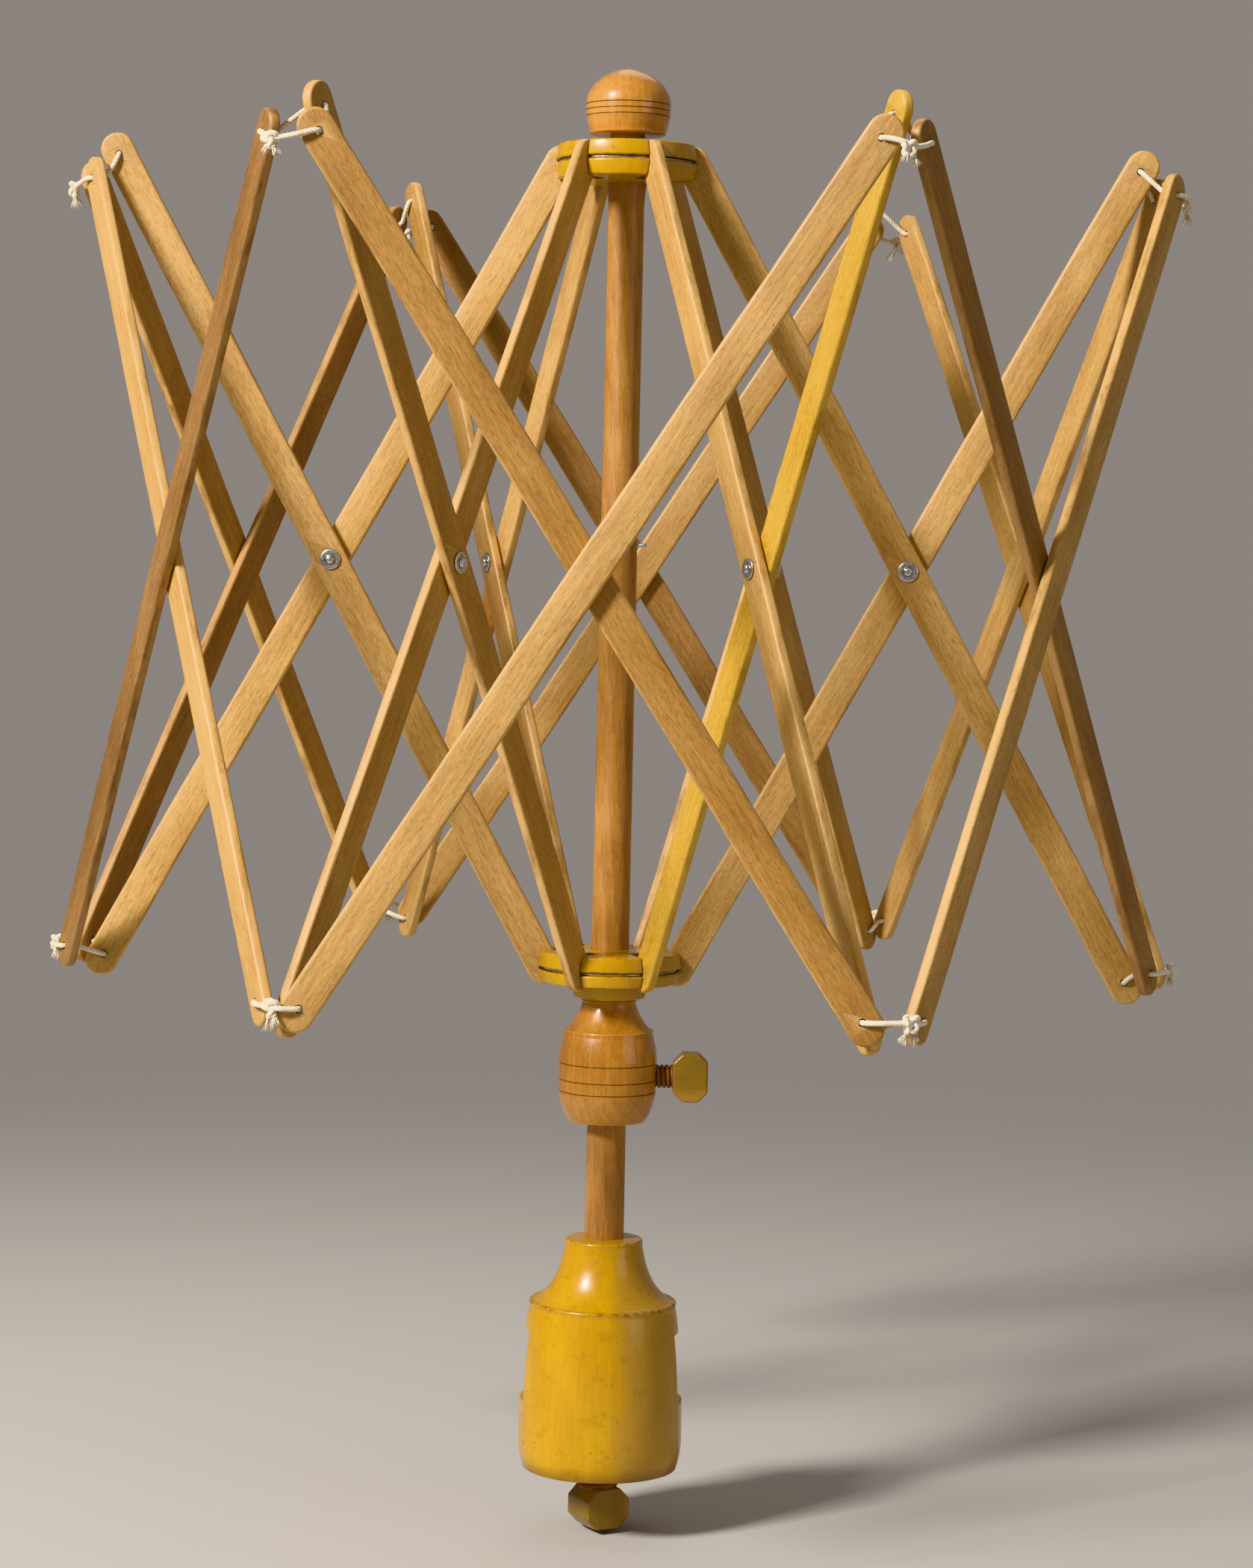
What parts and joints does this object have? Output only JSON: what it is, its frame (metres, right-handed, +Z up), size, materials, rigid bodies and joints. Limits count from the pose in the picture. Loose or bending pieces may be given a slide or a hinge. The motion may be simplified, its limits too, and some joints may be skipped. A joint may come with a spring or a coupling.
{
  "type": "umbrella swift",
  "caption": "Folding wooden yarn swift: slatted reel on a wooden shaft, with crossing arms, sliding lower hub, holding collar and thumbscrew, and a screw clamp for a table's edge.",
  "frame": {"origin": "on the shaft's axis, on the flat underside of the clamp's upper jaw, where it rests on the table's top", "axes": "+Z up along the shaft, +Y into the table through the open side of the clamp's throat, +X to the right, along the collar's thumbscrew"},
  "size_m": [0.4772, 0.4312, 0.6188],
  "materials": {
    "slat_wood": "thin clear varnish over straight-grained pale hardwood, satin",
    "dark_slat_wood": "the same varnish, aged darker",
    "shaft_wood": "varnished dowel, satin, with darker wear marks",
    "amber_wood": "glossy amber varnish over turned hardwood with dark scored rings",
    "yellow_paint": "glossy mustard-yellow translucent lacquer with worn edges",
    "olive_paint": "olive-yellow lacquer, handled",
    "screw_wood": "bare brown hardwood thread, rubbed",
    "steel": "drawn wire, slightly dulled",
    "aluminium": "bright pressed rivet",
    "cotton": "off-white twisted cotton cord"
  },
  "bodies": {
    "stand": {"clamp_body": "yellow_paint", "shaft": "shaft_wood", "knob": "amber_wood", "stop_pin": "steel"},
    "upper_hub": {"upper_hub": "yellow_paint", "upper_hub_wire": "steel"},
    "lower_hub": {"lower_hub": "yellow_paint", "lower_hub_wire": "steel"},
    "collar": {"collar": "amber_wood"},
    "thumbscrew_tip": {"thumbscrew_tip": "screw_wood"},
    "thumbscrew": {"thumbscrew_thread": "screw_wood", "thumbscrew_head": "olive_paint"},
    "clamp_screw_tip": {"clamp_screw_tip": "screw_wood"},
    "clamp_screw": {"clamp_screw_thread": "screw_wood", "clamp_screw_head": "olive_paint"},
    "upper_arm_1": {"upper_arm_1": "slat_wood", "arm_rivet_1": "aluminium"},
    "lower_arm_1": {"lower_arm_1": "slat_wood"},
    "top_tie_1": {"top_tie_1": "cotton"},
    "bottom_tie_1": {"bottom_tie_1": "cotton"},
    "upper_arm_2": {"upper_arm_2": "slat_wood", "arm_rivet_2": "aluminium"},
    "lower_arm_2": {"lower_arm_2": "slat_wood"},
    "top_tie_2": {"top_tie_2": "cotton"},
    "bottom_tie_2": {"bottom_tie_2": "cotton"},
    "upper_arm_3": {"upper_arm_3": "slat_wood", "arm_rivet_3": "aluminium"},
    "lower_arm_3": {"lower_arm_3": "slat_wood"},
    "top_tie_3": {"top_tie_3": "cotton"},
    "bottom_tie_3": {"bottom_tie_3": "cotton"},
    "upper_arm_4": {"upper_arm_4": "slat_wood", "arm_rivet_4": "aluminium"},
    "lower_arm_4": {"lower_arm_4": "slat_wood"},
    "top_tie_4": {"top_tie_4": "cotton"},
    "bottom_tie_4": {"bottom_tie_4": "cotton"},
    "upper_arm_5": {"upper_arm_5": "slat_wood", "arm_rivet_5": "aluminium"},
    "lower_arm_5": {"lower_arm_5": "slat_wood"},
    "top_tie_5": {"top_tie_5": "cotton"},
    "bottom_tie_5": {"bottom_tie_5": "cotton"},
    "upper_arm_6": {"upper_arm_6": "slat_wood", "arm_rivet_6": "aluminium"},
    "lower_arm_6": {"lower_arm_6": "slat_wood"},
    "top_tie_6": {"top_tie_6": "cotton"},
    "bottom_tie_6": {"bottom_tie_6": "cotton"},
    "inner_slat_1": {"inner_slat_1": "slat_wood"},
    "outer_slat_1": {"outer_slat_1": "dark_slat_wood"},
    "inner_slat_2": {"inner_slat_2": "slat_wood"},
    "outer_slat_2": {"outer_slat_2": "dark_slat_wood"},
    "inner_slat_3": {"inner_slat_3": "slat_wood"},
    "outer_slat_3": {"outer_slat_3": "dark_slat_wood"},
    "inner_slat_4": {"inner_slat_4": "slat_wood"},
    "outer_slat_4": {"outer_slat_4": "dark_slat_wood"},
    "inner_slat_5": {"inner_slat_5": "slat_wood"},
    "outer_slat_5": {"outer_slat_5": "dark_slat_wood"},
    "inner_slat_6": {"inner_slat_6": "slat_wood"},
    "outer_slat_6": {"outer_slat_6": "dark_slat_wood"}
  },
  "joints": [
    {"name": "reel_spin", "type": "hinge", "parent": "stand", "child": "upper_hub", "pos_m": [0, 0, 0.495], "axis": [0, 0, 1], "continuous": true},
    {"name": "fold", "type": "hinge", "parent": "upper_hub", "child": "upper_arm_1", "pos_m": [0.02816, -0.00148, 0.495], "axis": [-0.0523, -0.9986, 0], "range_deg": [-22.9, 20], "deforming": ["top_tie_1", "bottom_tie_1", "top_tie_2", "bottom_tie_2", "top_tie_3", "bottom_tie_3", "top_tie_4", "bottom_tie_4", "top_tie_5", "bottom_tie_5", "top_tie_6", "bottom_tie_6"]},
    {"name": "lower_arm_1_swing", "type": "hinge", "parent": "upper_arm_1", "child": "lower_arm_1", "pos_m": [0.12227, -0.00641, 0.32428], "axis": [-0.0523, -0.9986, 0], "range_deg": [-40.05, 45.85]},
    {"name": "top_tie_1_turn", "type": "hinge", "parent": "lower_arm_1", "child": "top_tie_1", "pos_m": [0.21638, -0.01134, 0.495], "axis": [-0.0523, -0.9986, 0], "range_deg": [-22.95, 20.05]},
    {"name": "bottom_tie_1_turn", "type": "hinge", "parent": "upper_arm_1", "child": "bottom_tie_1", "pos_m": [0.21638, -0.01134, 0.15357], "axis": [-0.0523, -0.9986, 0], "range_deg": [-20.05, 22.95]},
    {"name": "upper_arm_2_swing", "type": "hinge", "parent": "upper_hub", "child": "upper_arm_2", "pos_m": [0.01536, 0.02365, 0.495], "axis": [0.8387, -0.5446, 0], "range_deg": [-22.95, 20.05]},
    {"name": "lower_arm_2_swing", "type": "hinge", "parent": "upper_arm_2", "child": "lower_arm_2", "pos_m": [0.06669, 0.10269, 0.32428], "axis": [0.8387, -0.5446, 0], "range_deg": [-40.05, 45.85]},
    {"name": "top_tie_2_turn", "type": "hinge", "parent": "lower_arm_2", "child": "top_tie_2", "pos_m": [0.11801, 0.18172, 0.495], "axis": [0.8387, -0.5446, 0], "range_deg": [-22.95, 20.05]},
    {"name": "bottom_tie_2_turn", "type": "hinge", "parent": "upper_arm_2", "child": "bottom_tie_2", "pos_m": [0.11801, 0.18172, 0.15357], "axis": [0.8387, -0.5446, 0], "range_deg": [-20.05, 22.95]},
    {"name": "upper_arm_3_swing", "type": "hinge", "parent": "upper_hub", "child": "upper_arm_3", "pos_m": [-0.0128, 0.02513, 0.495], "axis": [0.891, 0.454, 0], "range_deg": [-22.95, 20.05]},
    {"name": "lower_arm_3_swing", "type": "hinge", "parent": "upper_arm_3", "child": "lower_arm_3", "pos_m": [-0.05559, 0.10909, 0.32428], "axis": [0.891, 0.454, 0], "range_deg": [-40.05, 45.85]},
    {"name": "top_tie_3_turn", "type": "hinge", "parent": "lower_arm_3", "child": "top_tie_3", "pos_m": [-0.09837, 0.19306, 0.495], "axis": [0.891, 0.454, 0], "range_deg": [-22.95, 20.05]},
    {"name": "bottom_tie_3_turn", "type": "hinge", "parent": "upper_arm_3", "child": "bottom_tie_3", "pos_m": [-0.09837, 0.19306, 0.15357], "axis": [0.891, 0.454, 0], "range_deg": [-20.05, 22.95]},
    {"name": "upper_arm_4_swing", "type": "hinge", "parent": "upper_hub", "child": "upper_arm_4", "pos_m": [-0.02816, 0.00148, 0.495], "axis": [0.0523, 0.9986, 0], "range_deg": [-22.95, 20.05]},
    {"name": "lower_arm_4_swing", "type": "hinge", "parent": "upper_arm_4", "child": "lower_arm_4", "pos_m": [-0.12227, 0.00641, 0.32428], "axis": [0.0523, 0.9986, 0], "range_deg": [-40.05, 45.85]},
    {"name": "top_tie_4_turn", "type": "hinge", "parent": "lower_arm_4", "child": "top_tie_4", "pos_m": [-0.21638, 0.01134, 0.495], "axis": [0.0523, 0.9986, 0], "range_deg": [-22.95, 20.05]},
    {"name": "bottom_tie_4_turn", "type": "hinge", "parent": "upper_arm_4", "child": "bottom_tie_4", "pos_m": [-0.21638, 0.01134, 0.15357], "axis": [0.0523, 0.9986, 0], "range_deg": [-20.05, 22.95]},
    {"name": "upper_arm_5_swing", "type": "hinge", "parent": "upper_hub", "child": "upper_arm_5", "pos_m": [-0.01536, -0.02365, 0.495], "axis": [-0.8387, 0.5446, 0], "range_deg": [-22.95, 20.05]},
    {"name": "lower_arm_5_swing", "type": "hinge", "parent": "upper_arm_5", "child": "lower_arm_5", "pos_m": [-0.06669, -0.10269, 0.32428], "axis": [-0.8387, 0.5446, 0], "range_deg": [-40.05, 45.85]},
    {"name": "top_tie_5_turn", "type": "hinge", "parent": "lower_arm_5", "child": "top_tie_5", "pos_m": [-0.11801, -0.18172, 0.495], "axis": [-0.8387, 0.5446, 0], "range_deg": [-22.95, 20.05]},
    {"name": "bottom_tie_5_turn", "type": "hinge", "parent": "upper_arm_5", "child": "bottom_tie_5", "pos_m": [-0.11801, -0.18172, 0.15357], "axis": [-0.8387, 0.5446, 0], "range_deg": [-20.05, 22.95]},
    {"name": "upper_arm_6_swing", "type": "hinge", "parent": "upper_hub", "child": "upper_arm_6", "pos_m": [0.0128, -0.02513, 0.495], "axis": [-0.891, -0.454, 0], "range_deg": [-22.95, 20.05]},
    {"name": "lower_arm_6_swing", "type": "hinge", "parent": "upper_arm_6", "child": "lower_arm_6", "pos_m": [0.05559, -0.10909, 0.32428], "axis": [-0.891, -0.454, 0], "range_deg": [-40.05, 45.85]},
    {"name": "top_tie_6_turn", "type": "hinge", "parent": "lower_arm_6", "child": "top_tie_6", "pos_m": [0.09837, -0.19306, 0.495], "axis": [-0.891, -0.454, 0], "range_deg": [-22.95, 20.05]},
    {"name": "bottom_tie_6_turn", "type": "hinge", "parent": "upper_arm_6", "child": "bottom_tie_6", "pos_m": [0.09837, -0.19306, 0.15357], "axis": [-0.891, -0.454, 0], "range_deg": [-20.05, 22.95]},
    {"name": "inner_slat_1_swing", "type": "hinge", "parent": "top_tie_1", "child": "inner_slat_1", "pos_m": [0.22045, 0.00723, 0.48972], "axis": [0.891, 0.454, 0], "range_deg": [-23.23, 20.29]},
    {"name": "outer_slat_1_swing", "type": "hinge", "parent": "top_tie_2", "child": "outer_slat_1", "pos_m": [0.13979, 0.17632, 0.48972], "axis": [-0.891, -0.454, 0], "range_deg": [-23.23, 20.29]},
    {"name": "inner_slat_2_swing", "type": "hinge", "parent": "top_tie_2", "child": "inner_slat_2", "pos_m": [0.10396, 0.19453, 0.48972], "axis": [0.0523, 0.9986, 0], "range_deg": [-23.23, 20.29]},
    {"name": "outer_slat_2_swing", "type": "hinge", "parent": "top_tie_3", "child": "outer_slat_2", "pos_m": [-0.0828, 0.20922, 0.48972], "axis": [-0.0523, -0.9986, 0], "range_deg": [-23.23, 20.29]},
    {"name": "inner_slat_3_swing", "type": "hinge", "parent": "top_tie_3", "child": "inner_slat_3", "pos_m": [-0.11648, 0.1873, 0.48972], "axis": [-0.8387, 0.5446, 0], "range_deg": [-23.23, 20.29]},
    {"name": "outer_slat_3_swing", "type": "hinge", "parent": "top_tie_4", "child": "outer_slat_3", "pos_m": [-0.22259, 0.0329, 0.48972], "axis": [0.8387, -0.5446, 0], "range_deg": [-23.23, 20.29]},
    {"name": "inner_slat_4_swing", "type": "hinge", "parent": "top_tie_4", "child": "inner_slat_4", "pos_m": [-0.22045, -0.00723, 0.48972], "axis": [-0.891, -0.454, 0], "range_deg": [-23.23, 20.29]},
    {"name": "outer_slat_4_swing", "type": "hinge", "parent": "top_tie_5", "child": "outer_slat_4", "pos_m": [-0.13979, -0.17632, 0.48972], "axis": [0.891, 0.454, 0], "range_deg": [-23.23, 20.29]},
    {"name": "inner_slat_5_swing", "type": "hinge", "parent": "top_tie_5", "child": "inner_slat_5", "pos_m": [-0.10396, -0.19453, 0.48972], "axis": [-0.0523, -0.9986, 0], "range_deg": [-23.23, 20.29]},
    {"name": "outer_slat_5_swing", "type": "hinge", "parent": "top_tie_6", "child": "outer_slat_5", "pos_m": [0.0828, -0.20922, 0.48972], "axis": [0.0523, 0.9986, 0], "range_deg": [-23.23, 20.29]},
    {"name": "inner_slat_6_swing", "type": "hinge", "parent": "top_tie_6", "child": "inner_slat_6", "pos_m": [0.11648, -0.1873, 0.48972], "axis": [0.8387, -0.5446, 0], "range_deg": [-23.23, 20.29]},
    {"name": "outer_slat_6_swing", "type": "hinge", "parent": "top_tie_1", "child": "outer_slat_6", "pos_m": [0.22259, -0.0329, 0.48972], "axis": [-0.8387, 0.5446, 0], "range_deg": [-23.23, 20.29]},
    {"name": "lower_hub_level", "type": "hinge", "parent": "lower_arm_1", "child": "lower_hub", "pos_m": [0.02816, -0.00148, 0.15357], "axis": [-0.0523, -0.9986, 0], "range_deg": [-22.95, 20.05]},
    {"name": "collar_hold", "type": "hinge", "parent": "lower_hub", "child": "collar", "pos_m": [0, 0, 0.115], "axis": [0, 0, 1], "continuous": true},
    {"name": "thumbscrew_travel", "type": "slide", "parent": "collar", "child": "thumbscrew_tip", "axis": [1, 0, 0], "range_m": [-0.00002, 0.00602]},
    {"name": "thumbscrew_turn", "type": "hinge", "parent": "thumbscrew_tip", "child": "thumbscrew", "pos_m": [0.03, 0, 0.1079], "axis": [1, 0, 0], "range_deg": [0, 1080]},
    {"name": "clamp_screw_travel", "type": "slide", "parent": "stand", "child": "clamp_screw_tip", "axis": [0, 0, 1], "range_m": [-0.01102, 0.00402]},
    {"name": "clamp_screw_turn", "type": "hinge", "parent": "clamp_screw_tip", "child": "clamp_screw", "pos_m": [0, 0, -0.04], "axis": [0, 0, 1], "range_deg": [-990, 360]}
  ],
  "couplings": [
    {"joint": "lower_arm_1_swing", "follows": "fold", "ratio": -2},
    {"joint": "top_tie_1_turn", "follows": "fold", "ratio": 1},
    {"joint": "bottom_tie_1_turn", "follows": "fold", "ratio": -1},
    {"joint": "upper_arm_2_swing", "follows": "fold", "ratio": 1},
    {"joint": "lower_arm_2_swing", "follows": "fold", "ratio": -2},
    {"joint": "top_tie_2_turn", "follows": "fold", "ratio": 1},
    {"joint": "bottom_tie_2_turn", "follows": "fold", "ratio": -1},
    {"joint": "upper_arm_3_swing", "follows": "fold", "ratio": 1},
    {"joint": "lower_arm_3_swing", "follows": "fold", "ratio": -2},
    {"joint": "top_tie_3_turn", "follows": "fold", "ratio": 1},
    {"joint": "bottom_tie_3_turn", "follows": "fold", "ratio": -1},
    {"joint": "upper_arm_4_swing", "follows": "fold", "ratio": 1},
    {"joint": "lower_arm_4_swing", "follows": "fold", "ratio": -2},
    {"joint": "top_tie_4_turn", "follows": "fold", "ratio": 1},
    {"joint": "bottom_tie_4_turn", "follows": "fold", "ratio": -1},
    {"joint": "upper_arm_5_swing", "follows": "fold", "ratio": 1},
    {"joint": "lower_arm_5_swing", "follows": "fold", "ratio": -2},
    {"joint": "top_tie_5_turn", "follows": "fold", "ratio": 1},
    {"joint": "bottom_tie_5_turn", "follows": "fold", "ratio": -1},
    {"joint": "upper_arm_6_swing", "follows": "fold", "ratio": 1},
    {"joint": "lower_arm_6_swing", "follows": "fold", "ratio": -2},
    {"joint": "top_tie_6_turn", "follows": "fold", "ratio": 1},
    {"joint": "bottom_tie_6_turn", "follows": "fold", "ratio": -1},
    {"joint": "inner_slat_1_swing", "follows": "fold", "ratio": 1.0121},
    {"joint": "outer_slat_1_swing", "follows": "fold", "ratio": 1.0121},
    {"joint": "inner_slat_2_swing", "follows": "fold", "ratio": 1.0121},
    {"joint": "outer_slat_2_swing", "follows": "fold", "ratio": 1.0121},
    {"joint": "inner_slat_3_swing", "follows": "fold", "ratio": 1.0121},
    {"joint": "outer_slat_3_swing", "follows": "fold", "ratio": 1.0121},
    {"joint": "inner_slat_4_swing", "follows": "fold", "ratio": 1.0121},
    {"joint": "outer_slat_4_swing", "follows": "fold", "ratio": 1.0121},
    {"joint": "inner_slat_5_swing", "follows": "fold", "ratio": 1.0121},
    {"joint": "outer_slat_5_swing", "follows": "fold", "ratio": 1.0121},
    {"joint": "inner_slat_6_swing", "follows": "fold", "ratio": 1.0121},
    {"joint": "outer_slat_6_swing", "follows": "fold", "ratio": 1.0121},
    {"joint": "lower_hub_level", "follows": "fold", "ratio": 1},
    {"joint": "collar_hold", "follows": "reel_spin", "ratio": -1},
    {"joint": "thumbscrew_travel", "follows": "thumbscrew_turn", "m_per_rad": 0.00031831},
    {"joint": "clamp_screw_travel", "follows": "clamp_screw_turn", "m_per_rad": 0.00063662}
  ]
}
